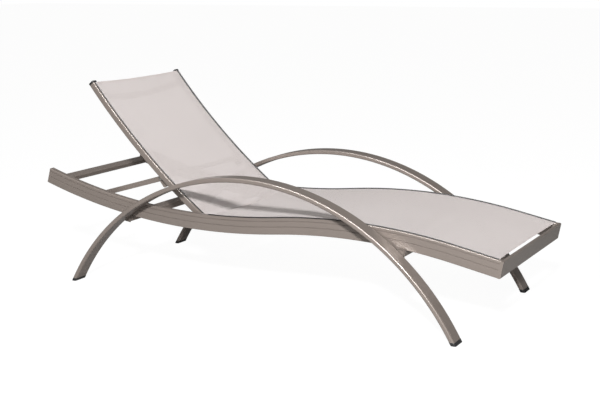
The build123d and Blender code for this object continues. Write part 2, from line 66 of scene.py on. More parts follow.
# Seat rails: valley arc, straight middle, crest arc and straight foot
VALLEY_X = 0.790 - DATUM
VALLEY_Z = 0.3007
VALLEY_RADIUS = 2.633
MIDDLE_RUN = 0.065
MIDDLE_SLOPE = math.radians(6.42)
CREST_RADIUS = 2.329
FOOT_SLOPE = math.radians(10.7)
RAIL_INNER_Y = 0.2945
RAIL_WIDTH = 0.025
RAIL_HEIGHT = 0.0625
RAIL_START = 0.010 - DATUM
RAIL_END = 1.992 - DATUM
MIDDLE_X = VALLEY_X + VALLEY_RADIUS * math.sin(MIDDLE_SLOPE)
MIDDLE_Z = VALLEY_Z + VALLEY_RADIUS * (1 - math.cos(MIDDLE_SLOPE))
RISE_X = MIDDLE_X + MIDDLE_RUN * math.cos(MIDDLE_SLOPE)
RISE_Z = MIDDLE_Z + MIDDLE_RUN * math.sin(MIDDLE_SLOPE)
CREST_X = RISE_X + CREST_RADIUS * math.sin(MIDDLE_SLOPE)
CREST_Z = RISE_Z + CREST_RADIUS * (1 - math.cos(MIDDLE_SLOPE))
FOOT_X = CREST_X + CREST_RADIUS * math.sin(FOOT_SLOPE)
FOOT_Z = CREST_Z - CREST_RADIUS * (1 - math.cos(FOOT_SLOPE))

# Keder rails: an outer lip, a groove that holds a black strip put for the groove's shade, and a lower inner top
# that the sling lies over.
# The sling turns down at the groove's inner end, through a throat to a round channel for its bead.
LIP_WIDTH = 0.0085
GROOVE_SET = 0.0130
GROOVE_DEPTH = 0.0034
TOP_DROP = 0.0008
THROAT = 0.0012
THROAT_WIDTH = 0.0014
BEAD_RADIUS = 0.0025
CHANNEL_RADIUS = 0.0031
BEAD_SET = GROOVE_SET - THROAT_WIDTH / 2
BEAD_DROP = GROOVE_DEPTH + THROAT + CHANNEL_RADIUS
EDGE_ROUND = 0.0018
LIP_ROUND = 0.0040
GROOVE_ROUND = 0.0005

# A seat rail's outer face has shallow lines at these rises, each a groove with corners (depth, rise)
RAIL_LINES = (-0.0015, 0.020)
LINE_CORNERS = ((0.0, -0.0023), (0.0022, -0.0014), (0.0022, 0.0009), (0.0, 0.0011))

# The slings lie this far above the inner tops and turn down through points (back from the edge, down)
CLOTH_LIFT = 0.0005
CLOTH_TURN = ((-0.0006, 0.0032), (-0.0004, 0.0016), (0.0001, 0.0006), (0.0012, 0.0001))
# A free end is drawn in over this reach. The cloth ripples gently, so often a metre, and not past this y.
TUCK_REACH = 0.16
RIPPLES_ALONG = 9.0
RIPPLES_ACROSS = 5.0
CALM_Y = 0.26
# Space between a hem's layers, length of the cloth's grid squares and wall of the sleeves round the cords
FOLD_GAP = 0.0004
CLOTH_STEP = 0.012
SLEEVE_WALL = 0.0008
# Rows of stitches, by their distance from the hem's inner edge
STITCH_ROWS = (0.003, 0.0065)
# A stitch: half its width, half its length as a share of the pitch, half its height, and its lift
STITCH_HALF_WIDTH = 0.00035
STITCH_LENGTH_SHARE = 0.4
STITCH_HALF_HEIGHT = 0.0003
STITCH_LIFT = 0.0002

# Back rails: one arc up from the pivot
PIVOT = Vector((0.7793 - DATUM, 0, 0.303))
BACK_SLOPE = math.radians(35.6)
BACK_RADIUS = 2.7925
BACK_CENTRE = PIVOT + BACK_RADIUS * Vector((math.sin(BACK_SLOPE), 0, math.cos(BACK_SLOPE)))
BACK_INNER_Y = 0.2663
BACK_RAIL_SIDE = 0.024
BACK_HEEL = 0.014
BACK_LENGTH = 0.742

# Arm bows: each is one arc from foot to foot, on a moulded shoe at either end
BOW_CENTRE = Vector((1.020 - DATUM, 0, -0.471))
BOW_RADIUS = 0.966
BOW_HALF_TURN = math.radians(64.0)
BOW_MID_Y = 0.3575
SHOE_TOP = 0.012

# Cross bars of the frame: (place along the lounger, rise, width, height)
SEAT_BARS = (
    (0.060 - DATUM, 0.0, 0.038, 0.020),
    (0.832 - DATUM, -0.006, 0.030, 0.020),
    (1.180 - DATUM, -0.002, 0.038, 0.016),
    (1.560 - DATUM, -0.002, 0.038, 0.016),
)
# Stretchers under the rails, from bow to bow
STRETCHERS_X = (0.427 - DATUM, 1.634 - DATUM)
STRETCHER_WIDTH = 0.040
STRETCHER_HEIGHT = 0.025
STRETCHER_GAP = 0.0001
STRETCHER_RISE = -(RAIL_HEIGHT + STRETCHER_HEIGHT) / 2 - STRETCHER_GAP
# Bars across the back, by their stations up from the pivot
BACK_BARS = (0.692, 0.060)
BACK_BAR_RISE = -0.005
BACK_BAR_WIDTH = 0.026
BACK_BAR_HEIGHT = 0.012

# A fillet weld's corners are rounded by this share of its leg
WELD_CORNER_SHARE = 1.6

# Domed heads: (radius, height, reach of the socket), and where the pivots' and pins' heads sit
STRETCHER_HEAD = (0.0072, 0.0044, 0.0028)
PIVOT_HEAD = (0.0082, 0.0043, 0.0032)
PIN_HEAD = (0.0072, 0.0031, 0.0024)
PIVOT_HEAD_Y = 0.26595
PIN_HEAD_Y = 0.2561
# The depth of a head's socket and the height of its straight rim, as shares of its height
SOCKET_SHARE = 0.55
RIM_SHARE = 0.25

# The stage: where the key lamp aims and stands, half the floor's side, and how the fill leans
KEY_TARGET = Vector((-0.05, 0, 0.35))
KEY_DIRECTION = Vector((0.47, -0.94, 0.56)).normalized()
KEY_DISTANCE = 6.0
FLOOR_HALF = 30.0
FILL_FROM_ABOVE = 0.45
FILL_FROM_NEAR = 0.6
FILL_ALL_ROUND = 0.75
FILL_LEAST = 0.6

# The photograph's viewpoint: yaw, pitch and roll in degrees, and the focal length in pixels of its width
VIEW_ANGLES = (30.2572, 11.9557, -0.5477)
VIEW_PLACE = (3.1897 - DATUM, -3.6818, 1.2570)
VIEW_FOCAL = 1090.68
VIEW_WIDTH = 600.0
SENSOR_WIDTH = 36.0


def seat_line(x):
    """Height and slope of the seat rails' centreline at x."""
    if x < MIDDLE_X:
        slope = math.asin((x - VALLEY_X) / VALLEY_RADIUS)
        return VALLEY_Z + VALLEY_RADIUS * (1 - math.cos(slope)), slope
    if x < RISE_X:
        return MIDDLE_Z + (x - MIDDLE_X) * math.tan(MIDDLE_SLOPE), MIDDLE_SLOPE
    if x < FOOT_X:
        slope = math.asin((CREST_X - x) / CREST_RADIUS)
        return CREST_Z - CREST_RADIUS * (1 - math.cos(slope)), slope
    return FOOT_Z - (x - FOOT_X) * math.tan(FOOT_SLOPE), -FOOT_SLOPE


def seat_point(x, y, rise):
    """A point beside the seat rails, at a rise square to their centreline."""
    z, slope = seat_line(x)
    return Vector((x - rise * math.sin(slope), y, z + rise * math.cos(slope)))


def seat_turn(x):
    """Turns a piece modelled along X so that it follows the seat rails at x."""
    return Matrix.Rotation(-seat_line(x)[1], 3, "Y")


def back_point(station, y, rise):
    """A point beside the back rails, at an arc length up from the pivot and a rise towards the sling."""
    slope = BACK_SLOPE + station / BACK_RADIUS
    reach = BACK_RADIUS - rise
    return BACK_CENTRE + Vector((-reach * math.sin(slope), y, -reach * math.cos(slope)))


def back_turn(station):
    """Turns a piece modelled along X so that it runs down the back rails at a station."""
    return Matrix.Rotation(BACK_SLOPE + station / BACK_RADIUS, 3, "Y")


class Value:
    """One output of a material's nodes. Plain arithmetic on it adds Math nodes."""

    def __init__(self, paint, socket):
        self.paint = paint
        self.socket = socket

    def math(self, operation, *others):
        """This value and the others through one Math node."""
        inputs = dict(enumerate((self, *others)))
        return self.paint.add("ShaderNodeMath", {"operation": operation}, inputs)

    def turned(self, operation, other):
        """The other value first, and this one second."""
        return self.paint.add("ShaderNodeMath", {"operation": operation}, {0: other, 1: self})

    def __add__(self, other):
        return self.math("ADD", other)

    def __sub__(self, other):
        return self.math("SUBTRACT", other)

    def __rsub__(self, other):
        return self.turned("SUBTRACT", other)

    def __mul__(self, other):
        return self.math("MULTIPLY", other)

    def __truediv__(self, other):
        return self.math("DIVIDE", other)

    def __rtruediv__(self, other):
        return self.turned("DIVIDE", other)

    def __mod__(self, other):
        return self.math("FLOORED_MODULO", other)

    def __rmod__(self, other):
        return self.turned("FLOORED_MODULO", other)

    def __lt__(self, other):
        return self.math("LESS_THAN", other)

    def __gt__(self, other):
        return self.math("GREATER_THAN", other)

    __radd__ = __add__
    __rmul__ = __mul__


class Nodes:
    """Adds nodes to one tree."""

    def __init__(self, tree):
        self.tree = tree

    def put(self, socket, value):
        """Links or sets one input."""
        if isinstance(value, Value):
            self.tree.links.new(value.socket, socket)
        elif socket.type == "RGBA":
            socket.default_value = (*value, 1.0)
        else:
            socket.default_value = value

    def add(self, kind, settings=None, inputs=None, output=0):
        """Adds a node: its settings first, then its inputs. Gives the named output."""
        node = self.tree.nodes.new(kind)
        for key, value in (settings or {}).items():
            setattr(node, key, value)
        for key, value in (inputs or {}).items():
            self.put(node.inputs[key], value)
        return Value(self, node.outputs[output])


class Paint(Nodes):
    """A material under one Principled shader."""

    def __init__(self, name, even):
        self.material = bpy.data.materials.new(name)
        self.material.use_nodes = True
        super().__init__(self.material.node_tree)
        self.shader = self.tree.nodes["Principled BSDF"]
        for socket, value in even.items():
            self.put(self.shader.inputs[socket], value)

    def surface(self, **varying):
        """Links what changes over the surface, by the shader's own names."""
        for name, value in varying.items():
            self.put(self.shader.inputs[name.replace("_", " ")], value)
        return self.material

    def here(self):
        return self.add("ShaderNodeTexCoord", output="Object")

    def cloud(self, scale, detail=2.0):
        """Soft noise from 0 to 1, with its scale in spots a metre."""
        inputs = {"Vector": self.here(), "Scale": scale, "Detail": detail}
        return self.add("ShaderNodeTexNoise", None, inputs, "Fac")

    def blend(self, factor, first, second):
        """Mixes two colours."""
        settings = {"data_type": "RGBA", "clamp_factor": True}
        return self.add("ShaderNodeMix", settings, {0: factor, 6: first, 7: second}, 2)

    def bump(self, height, depth, strength=1.0):
        inputs = {"Strength": strength, "Distance": depth, "Height": height}
        return self.add("ShaderNodeBump", None, inputs)


def shade(colour, factor):
    """A colour, darker or lighter by a factor."""
    return tuple(channel * factor for channel in colour)


class FrameFinish(bpy.types.PropertyGroup):
    """The painted tubes and what joins them."""

    colour: bpy.props.FloatVectorProperty(
        name="Paint colour", description="Powder coat of the tubes", subtype="COLOR",
        default=(0.217, 0.184, 0.164), min=0.0, max=1.0)
    roughness: bpy.props.FloatProperty(
        name="Paint roughness", description="Satin of the powder coat", subtype="FACTOR",
        default=0.33, min=0.0, max=1.0)
    peel: bpy.props.FloatProperty(
        name="Orange peel", description="Depth of the coat's fine texture", default=0.00004, unit="LENGTH")
    weld: bpy.props.FloatProperty(
        name="Weld leg", description="Leg of the fillet welds", default=0.0028, unit="LENGTH")
    bow_width: bpy.props.FloatProperty(
        name="Bow width", description="Width of an arm bow", default=0.064, unit="LENGTH")
    bow_thickness: bpy.props.FloatProperty(
        name="Bow thickness", description="Thickness of an arm bow", default=0.018, unit="LENGTH")
    bow_corner: bpy.props.FloatProperty(
        name="Bow corner", description="Radius of an arm bow's long corners", default=0.006, unit="LENGTH")


class SlingFinish(bpy.types.PropertyGroup):
    """The woven slings."""

    colour: bpy.props.FloatVectorProperty(
        name="Yarn colour", description="Coated yarn of the slings", subtype="COLOR",
        default=(0.795, 0.728, 0.712), min=0.0, max=1.0)
    pitch: bpy.props.FloatProperty(
        name="Yarn pitch", description="From one yarn to the next", default=0.0017, unit="LENGTH")
    open_back: bpy.props.FloatProperty(
        name="Open back", description="Share of the back's weave that is open", subtype="FACTOR",
        default=0.05, min=0.0, max=0.5)
    open_seat: bpy.props.FloatProperty(
        name="Open seat", description="Share of the seat's closer weave that is open", subtype="FACTOR",
        default=0.012, min=0.0, max=0.5)
    thickness: bpy.props.FloatProperty(
        name="Cloth thickness", description="Thickness of one layer", default=0.0007, unit="LENGTH")
    hem: bpy.props.FloatProperty(
        name="Hem", description="Length of cloth folded under at each end", default=0.012, unit="LENGTH")
    stitch: bpy.props.FloatProperty(
        name="Stitch pitch", description="From one stitch to the next", default=0.0042, unit="LENGTH")
    ripple: bpy.props.FloatProperty(
        name="Ripple", description="Height of the cloth's slight unevenness", default=0.0006, unit="LENGTH")


class StageFinish(bpy.types.PropertyGroup):
    """The lamps."""

    key: bpy.props.FloatProperty(
        name="Key lamp", description="Power of the key lamp", default=462.0, min=0.0, unit="POWER")
    top: bpy.props.FloatProperty(
        name="Top lamp", description="Power of the overhead lamp", default=9.0, min=0.0, unit="POWER")
    strip: bpy.props.FloatProperty(
        name="Strip lamp", description="Power of the long lamp that only gives highlights",
        default=160.0, min=0.0, unit="POWER")
    fill: bpy.props.FloatProperty(
        name="Fill", description="Strength of the light from all round", default=0.23, min=0.0)


def powder_coat(finish):
    """Satin metallic powder coat with a fine orange peel."""
    paint = Paint("powder coat", {"Metallic": 0.25, "IOR": 1.5, "Coat Weight": 0.3, "Coat Roughness": 0.12})
    colour = tuple(finish.colour)
    drift = paint.cloud(7.0, detail=3.0)
    fleck = paint.cloud(2600.0, detail=1.0)
    base = paint.blend(drift, shade(colour, 0.93), shade(colour, 1.06))
    base = paint.blend(fleck * 0.35, base, shade(colour, 1.35))
    rough = paint.cloud(60.0, detail=4.0) * 0.1 + (finish.roughness - 0.05)
    peel = paint.bump(paint.cloud(900.0, detail=3.0), finish.peel)
    return paint.surface(Base_Color=base, Roughness=rough, Normal=peel)


def weld_metal(finish):
    """A painted weld bead with its close ripples."""
    paint = Paint("painted weld", {"Metallic": 0.25})
    colour = tuple(finish.colour)
    rings = paint.cloud(420.0)
    base = paint.blend(rings, shade(colour, 0.8), shade(colour, 1.05))
    return paint.surface(Base_Color=base, Roughness=rings * 0.2 + 0.35, Normal=paint.bump(rings, 0.0006))


def moulded(name, colour, roughness, grain=0.00003):
    """Moulded plastic or rubber with a fine spark-eroded grain and handling marks."""
    paint = Paint(name, {"Metallic": 0.0})
    marks = paint.cloud(35.0, detail=5.0)
    base = paint.blend(marks, shade(colour, 0.8), shade(colour, 1.3))
    rough = marks * 0.16 + (roughness - 0.08)
    return paint.surface(Base_Color=base, Roughness=rough, Normal=paint.bump(paint.cloud(1700.0), grain))


def turned_steel():
    """Stainless fasteners with fine turning marks."""
    paint = Paint("stainless steel", {"Metallic": 1.0})
    lines = paint.cloud(1200.0)
    base = paint.blend(lines, (0.42, 0.41, 0.39), (0.62, 0.61, 0.58))
    return paint.surface(Base_Color=base, Roughness=lines * 0.15 + 0.22, Normal=paint.bump(lines, 0.00002))


def woven_cloth(finish, name="woven sling", open_share=0.0):
    """Plain weave of coated yarns with its open corners and painted shade where the yarns dip, on the cloth's
    own metres.
    """
    paint = Paint(name, {"Sheen Weight": 0.12, "Sheen Roughness": 0.6, "IOR": 1.45})
    weave = paint.add("ShaderNodeUVMap", {"uv_map": "weave"})
    across = paint.add("ShaderNodeSeparateXYZ", None, {0: weave}, "X") / finish.pitch
    along = paint.add("ShaderNodeSeparateXYZ", None, {0: weave}, "Y") / finish.pitch
    warp = (across * math.pi).math("SINE").math("ABSOLUTE")
    weft = (along * math.pi).math("SINE").math("ABSOLUTE")
    over = (across.math("FLOOR") + along.math("FLOOR")) % 2.0
    height = warp * over + weft * (1.0 - over)
    colour = tuple(finish.colour)
    drift = paint.cloud(5.0, detail=3.0)
    thread = paint.add("ShaderNodeTexWhiteNoise", {"noise_dimensions": "1D"}, {"W": across.math("FLOOR")})
    base = paint.blend(drift, shade(colour, 0.96), shade(colour, 1.03))
    base = paint.blend(thread * 0.25, base, shade(colour, 0.9))
    # Darker where the yarns dip at and between the crossings: painted shade in the weave's hollows.
    base = paint.blend((1.0 - height) * 0.55, base, shade(colour, 0.7))
    relief = paint.bump(height, 0.00025, strength=0.7)
    varying = {"Base_Color": base, "Roughness": 0.62 - height * 0.14, "Normal": relief}
    if not open_share:
        return paint.surface(**varying)
    reach = math.sin(math.pi / 2 * math.sqrt(open_share))
    openings = (warp < reach) * (weft < reach)
    glow = paint.add("ShaderNodeBsdfTranslucent", None, {"Color": colour})
    mix = paint.add("ShaderNodeMixShader", None, {0: 0.2, 1: Value(paint, paint.shader.outputs[0]), 2: glow})
    paint.put(paint.tree.nodes["Material Output"].inputs["Surface"], mix)
    return paint.surface(Alpha=1.0 - openings, **varying)


def thread_cloth(finish):
    """Twisted sewing thread."""
    paint = Paint("sewing thread", {"Sheen Weight": 0.1})
    colour = shade(tuple(finish.colour), 0.86)
    twist = paint.cloud(2200.0, detail=1.0)
    base = paint.blend(twist, shade(colour, 0.8), shade(colour, 1.1))
    return paint.surface(Base_Color=base, Roughness=twist * 0.2 + 0.5, Normal=paint.bump(twist, 0.00008))


def place_piece(name, bm, body, material, sharp=math.radians(35)):
    """Makes a finished bmesh an object that rides on a body, with its faces turned outwards."""
    bmesh.ops.recalc_face_normals(bm, faces=bm.faces)
    for face in bm.faces:
        face.smooth = True
    for edge in bm.edges:
        edge.smooth = not edge.is_manifold or edge.calc_face_angle() < sharp
    mesh = bpy.data.meshes.new(name)
    bm.to_mesh(mesh)
    bm.free()
    piece = bpy.data.objects.new(name, mesh)
    bpy.context.scene.collection.objects.link(piece)
    mesh.materials.append(material)
    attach(piece, body)
    return piece


def modifier(piece, kind, **settings):
    """Adds a modifier with its settings."""
    made = piece.modifiers.new(kind.title().replace("_", " "), kind)
    for key, value in settings.items():
        setattr(made, key, value)
    return made


def round_off(bm, geom, offset, segments, affect="EDGES"):
    """Rounds corners or edges."""
    bmesh.ops.bevel(bm, geom=geom, offset=offset, segments=segments, profile=0.5, affect=affect, material=-1)


def rounded_face(bm, width, height, corner, segments=6):
    """One face with round corners, at the origin: width along Y and height along Z."""
    made = bmesh.ops.create_grid(bm, x_segments=1, y_segments=1, size=0.5)["verts"]
    turn = Matrix.Rotation(math.pi / 2, 4, "Y")
    bmesh.ops.transform(bm, matrix=Matrix.Diagonal((1, width, height, 1)) @ turn, verts=made)
    round_off(bm, made, corner, segments, "VERTICES")


def bow_solid(width, thickness, corner, steps=144):
    """A bow's outer form, on past the ground at both ends."""
    bm = bmesh.new()
    rounded_face(bm, width, thickness, corner)
    lift = Matrix.Translation(Vector((0, 0, BOW_RADIUS)))
    start = Matrix.Translation(BOW_CENTRE) @ Matrix.Rotation(-BOW_HALF_TURN, 4, "Y") @ lift
    bmesh.ops.transform(bm, matrix=start, verts=bm.verts)
    geom = [*bm.verts, *bm.edges, *bm.faces]
    bmesh.ops.spin(bm, geom=geom, cent=BOW_CENTRE, axis=(0, 1, 0), dvec=(0, 0, 0),
                   angle=2 * BOW_HALF_TURN, steps=steps, use_merge=False, use_normal_flip=False,
                   use_duplicate=False)
    return bm


def cut_flat(bm, height, keep_above=True):
    """Cuts a solid level at a height and closes it."""
    geom = [*bm.verts, *bm.edges, *bm.faces]
    cut = bmesh.ops.bisect_plane(bm, geom=geom, dist=1e-6, plane_co=(0, 0, height), plane_no=(0, 0, 1),
                                 clear_inner=keep_above, clear_outer=not keep_above)
    rim = [item for item in cut["geom_cut"] if isinstance(item, bmesh.types.BMEdge)]
    bmesh.ops.edgeloop_fill(bm, edges=rim)
    bmesh.ops.recalc_face_normals(bm, faces=bm.faces)


class LOUNGER_OT_paint(bpy.types.Operator):
    """Gives every CAD node the material of its slot"""

    bl_idname = "lounger.paint"
    bl_label = "Paint The Frame"

    def execute(self, context):
        finish = context.scene.lounger_frame
        finishes = {
            "frame_paint": powder_coat(finish),
            "end_cap_plastic": moulded("taupe end cap", shade(tuple(finish.colour), 0.9), 0.5),
            "sling_fabric": woven_cloth(context.scene.lounger_sling),
            "cord_plastic": moulded("edge cord", (0.55, 0.5, 0.46), 0.45),
            "black_plastic": moulded("black plastic", (0.016, 0.016, 0.017), 0.42),
            "bumper_rubber": moulded("bumper rubber", (0.02, 0.02, 0.02), 0.75, 0.00006),
            "bush_nylon": moulded("bush nylon", (0.05, 0.05, 0.05), 0.4),
            "fastener_steel": turned_steel(),
        }
        for entry in frame["record"]["subparts"]:
            node = frame["nodes"][entry["node"]]
            node.data.materials.clear()
            node.data.materials.append(finishes[entry["material_slot"]])
        return {"FINISHED"}


class LOUNGER_OT_bows(bpy.types.Operator):
    """Builds the two arm bows as smooth bent tubes"""

    bl_idname = "lounger.bows"
    bl_label = "Arm Bows"

    def execute(self, context):
        finish = context.scene.lounger_frame
        coat = bpy.data.materials["powder coat"]
        for side, sign in SIDES:
            bm = bow_solid(finish.bow_width, finish.bow_thickness, finish.bow_corner)
            cut_flat(bm, SHOE_TOP)
            bmesh.ops.translate(bm, vec=(0, sign * BOW_MID_Y, 0), verts=bm.verts)
            piece = place_piece(f"arm_bow_tube_{side}", bm, "frame", coat)
            modifier(piece, "WEIGHTED_NORMAL", keep_sharp=True)
            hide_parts(f"arm_bow_{side}")
        return {"FINISHED"}


def keder_profile(bm, width, height, lines):
    """A keder rail's section at the origin: Y outward from its inner face, Z its rise."""
    high = height / 2
    floor = high - GROOVE_DEPTH
    outline = [(0, -high), (width, -high)]
    for line in lines:
        outline += [(width - depth, line + rise) for depth, rise in LINE_CORNERS]
    outline += [(width, high), (width - LIP_WIDTH, high), (width - LIP_WIDTH, floor)]
    outline.append((width - GROOVE_SET + THROAT_WIDTH, floor))
    spread = math.asin(THROAT_WIDTH / 2 / CHANNEL_RADIUS)
    arc = 10
    for step in range(arc + 1):
        angle = math.pi / 2 - spread - (2 * math.pi - 2 * spread) * step / arc
        outline.append((width - BEAD_SET + CHANNEL_RADIUS * math.cos(angle),
                        high - BEAD_DROP + CHANNEL_RADIUS * math.sin(angle)))
    outline += [(width - GROOVE_SET, high - TOP_DROP), (0, high - TOP_DROP)]
    bm.faces.new([bm.verts.new((0, y, z)) for y, z in outline])
    for spots, corner in (
        (((0, -high), (width, -high), (0, high - TOP_DROP)), EDGE_ROUND),
        (((width, high),), LIP_ROUND),
        (((width - GROOVE_SET, high - TOP_DROP), (width - LIP_WIDTH, high)), GROOVE_ROUND),
    ):
        corners = [vert for vert in bm.verts if min(math.dist(vert.co.yz, spot) for spot in spots) < 1e-6]
        round_off(bm, corners, corner, 4, "VERTICES")


def evenly(first, last, count):
    """Evenly spaced stations, with count steps between the first and the last."""
    return [first + (last - first) * index / count for index in range(count + 1)]


def sweep_section(bm, stations, place):
    """Runs the one section in a bmesh along the stations, with place(station, y, rise) for its points."""
    order = bm.verts.layers.int.new("order")
    section = []
    for index, vert in enumerate(bm.verts):
        vert[order] = index
        section.append((vert.co.y, vert.co.z))
        vert.co = place(stations[0], *section[-1])
    edges = list(bm.edges)
    for station in stations[1:]:
        grown = bmesh.ops.extrude_edge_only(bm, edges=edges)["geom"]
        edges = [item for item in grown if isinstance(item, bmesh.types.BMEdge)]
        for vert in (item for item in grown if isinstance(item, bmesh.types.BMVert)):
            vert.co = place(station, *section[vert[order]])
    bmesh.ops.edgeloop_fill(bm, edges=edges)


class LOUNGER_OT_rails(bpy.types.Operator):
    """Builds the seat's and the back's keder extrusions with their lines and slots"""

    bl_idname = "lounger.rails"
    bl_label = "Keder Rails"

    def execute(self, context):
        coat = bpy.data.materials["powder coat"]
        sharp = math.radians(28)
        along = evenly(RAIL_START, RAIL_END, 90)
        up = evenly(-BACK_HEEL, BACK_LENGTH, 30)
        for side, sign in SIDES:
            bm = bmesh.new()
            keder_profile(bm, RAIL_WIDTH, RAIL_HEIGHT, RAIL_LINES)
            sweep_section(bm, along, lambda x, y, rise: seat_point(x, sign * (RAIL_INNER_Y + y), rise))
            piece = place_piece(f"seat_extrusion_{side}", bm, "frame", coat, sharp)
            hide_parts(f"seat_rail_{side}")
            bm = bmesh.new()
            keder_profile(bm, BACK_RAIL_SIDE, BACK_RAIL_SIDE, ())
            sweep_section(bm, up, lambda run, y, rise: back_point(run, sign * (BACK_INNER_Y + y), rise))
            piece = place_piece(f"back_extrusion_{side}", bm, "backrest", coat, sharp)
            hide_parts(f"back_rail_{side}")
        return {"FINISHED"}


class LOUNGER_OT_caps(bpy.types.Operator):
    """Builds the black caps on the back rails' tops"""

    bl_idname = "lounger.caps"
    bl_label = "Back Caps"

    length: bpy.props.FloatProperty(
        name="Length", description="Depth of a cap over its rail's end", default=0.009, unit="LENGTH")
    proud: bpy.props.FloatProperty(
        name="Proud", description="How far a cap stands out round its rail", default=0.0002, unit="LENGTH")
    corner: bpy.props.FloatProperty(
        name="Corner", description="Rounding of a cap's edges", default=0.0018, unit="LENGTH")

    def execute(self, context):
        black = bpy.data.materials["black plastic"]
        width = BACK_RAIL_SIDE + 2 * self.proud
        for side, sign in SIDES:
            bm = bmesh.new()
            bmesh.ops.create_cube(bm, size=1.0, matrix=Matrix.Diagonal((self.length, width, width, 1)))
            round_off(bm, bm.edges, self.corner, 3)
            centre = back_point(BACK_LENGTH + self.length / 2, sign * (BACK_INNER_Y + BACK_RAIL_SIDE / 2), 0)
            place = Matrix.Translation(centre) @ back_turn(BACK_LENGTH).to_4x4()
            bmesh.ops.transform(bm, matrix=place, verts=bm.verts)
            piece = place_piece(f"back_rail_top_cap_{side}", bm, "backrest", black)
            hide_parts(f"back_top_cap_{side}")
        return {"FINISHED"}


class LOUNGER_OT_shoes(bpy.types.Operator):
    """Builds the moulded shoes under the bows' feet"""

    bl_idname = "lounger.shoes"
    bl_label = "Foot Shoes"

    proud: bpy.props.FloatProperty(
        name="Proud", description="How far a shoe stands out round its tube", default=0.0004, unit="LENGTH")
    lip: bpy.props.FloatProperty(
        name="Lip", description="Height of the shoe's rounded rim", default=0.0012, unit="LENGTH")

    def execute(self, context):
        finish = context.scene.lounger_frame
        black = bpy.data.materials["black plastic"]
        width = finish.bow_width + 2 * self.proud
        thickness = finish.bow_thickness + 2 * self.proud
        names = {(1, 1): "front_foot_cap_left", (1, -1): "front_foot_cap_right",
                 (-1, 1): "rear_foot_cap_left", (-1, -1): "rear_foot_cap_right"}
        for (end, sign), node in names.items():
            bm = bow_solid(width, thickness, finish.bow_corner + self.proud)
            cut_flat(bm, 0.0)
            cut_flat(bm, SHOE_TOP, keep_above=False)
            other = [vert for vert in bm.verts if (vert.co.x - BOW_CENTRE.x) * end < 0]
            bmesh.ops.delete(bm, geom=other, context="VERTS")
            for level, offset in ((SHOE_TOP, self.lip / 2), (0.0, self.lip)):
                rim = [edge for edge in bm.edges if all(abs(vert.co.z - level) < 1e-5 for vert in edge.verts)]
                round_off(bm, rim, offset, 3)
            bmesh.ops.translate(bm, vec=(0, sign * BOW_MID_Y, 0), verts=bm.verts)
            piece = place_piece(node.replace("cap", "shoe"), bm, "frame", black)
            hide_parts(node)
        return {"FINISHED"}


def folded_stations(start, end, hem, gap, step):
    """Stations along a cloth whose ends fold under: (station, drop below its top, cloth so far)."""
    turn = gap / 2
    arc = 6
    points = [(start + hem * share, -gap) for share in (1.0, 0.75, 0.5, 0.25)]
    for index in range(arc + 1):
        angle = math.pi * index / arc
        points.append((start - turn * math.sin(angle), -turn * (1 + math.cos(angle))))
    count = max(2, round((end - start) / step))
    points += [(start + (end - start) * index / count, 0.0) for index in range(1, count)]
    for index in range(arc + 1):
        angle = math.pi * index / arc
        points.append((end + turn * math.sin(angle), -turn * (1 - math.cos(angle))))
    points += [(end - hem * share, -gap) for share in (0.25, 0.5, 0.75, 1.0)]
    stations = []
    length = 0.0
    for index, (station, drop) in enumerate(points):
        if index:
            last = points[index - 1]
            length += math.hypot(station - last[0], drop - last[1])
        stations.append((station, drop, length))
    return stations


def mapped_grid(columns, rows, place, size):
    """A grid whose points go where place(column, row) says, with its cloth metres as UVs."""
    bm = bmesh.new()
    weave = bm.loops.layers.uv.new("weave")
    bmesh.ops.create_grid(bm, x_segments=columns, y_segments=rows, size=0.5)
    for face in bm.faces:
        for loop in face.loops:
            spot = loop.vert.co
            column, row = round((spot.x + 0.5) * columns), round((spot.y + 0.5) * rows)
            loop[weave].uv = size(column, row)
    for vert in bm.verts:
        column, row = round((vert.co.x + 0.5) * columns), round((vert.co.y + 0.5) * rows)
        vert.co = place(column, row)
    return bm


class Sling:
    """One sling: its run along its rails and its section from edge to edge.

    The section lies over the rails' inner tops, sags between them and turns down a throat at each edge.
    point(station, y, rise) gives a place beside its rails.
    """

    def __init__(self, name, body, point, start, end, tuck, inner, width, top, sag):
        self.name = name
        self.body = body
        self.point = point
        self.start = start
        self.end = end
        self.tuck = tuck
        self.inner = inner
        self.outer = inner + width
        self.top = top
        self.sag = sag
        self.bead = (self.outer - BEAD_SET, top - BEAD_DROP)

    def rise(self, y):
        """Height of the cloth's middle above the rails' centreline at y."""
        return self.top - TOP_DROP + CLOTH_LIFT - self.sag * max(0.0, 1 - (y / self.inner) ** 2)

    def section(self):
        """Points from edge to edge: (y, rise, width of cloth so far)."""
        edge = self.outer - GROOVE_SET
        side = [(self.bead[0], self.bead[1] + BEAD_RADIUS)]
        side += [(edge - back, self.rise(self.outer) - down) for back, down in CLOTH_TURN]
        top = [self.inner + (edge - self.inner) * share for share in (0.75, 0.5, 0.25, 0.0)]
        steps = 24
        hang = [self.inner * (1 - share) for share in (0.014, 0.03)]
        hang += [self.inner * (1 - step / steps) for step in range(2, steps)]
        side += [(y, self.rise(y)) for y in top + hang]
        points = [(-y, rise) for y, rise in side] + [(0.0, self.rise(0.0))] + side[::-1]
        section = []
        width = 0.0
        for index, point in enumerate(points):
            if index:
                width += math.dist(point, points[index - 1])
            section.append((*point, width))
        return section

    def drawn_in(self, station, y):
        """A station near the sling's free end, drawn in between the rails as a stretched edge is."""
        share = min(1.0, max(0.0, 1 - (self.end - station) / TUCK_REACH))
        return station - self.tuck * share * share * max(0.0, 1 - (y / self.inner) ** 2)

    def on_cloth(self, station, y, rise, finish):
        """A point of the drawn-in cloth, with its slight unevenness between the rails."""
        calm = max(0.0, 1 - (y / CALM_Y) ** 6)
        spot = Vector((station * RIPPLES_ALONG, y * RIPPLES_ACROSS, 3.0))
        rise += finish.ripple * calm * noise.noise(spot)
        return self.point(self.drawn_in(station, y), y, rise)


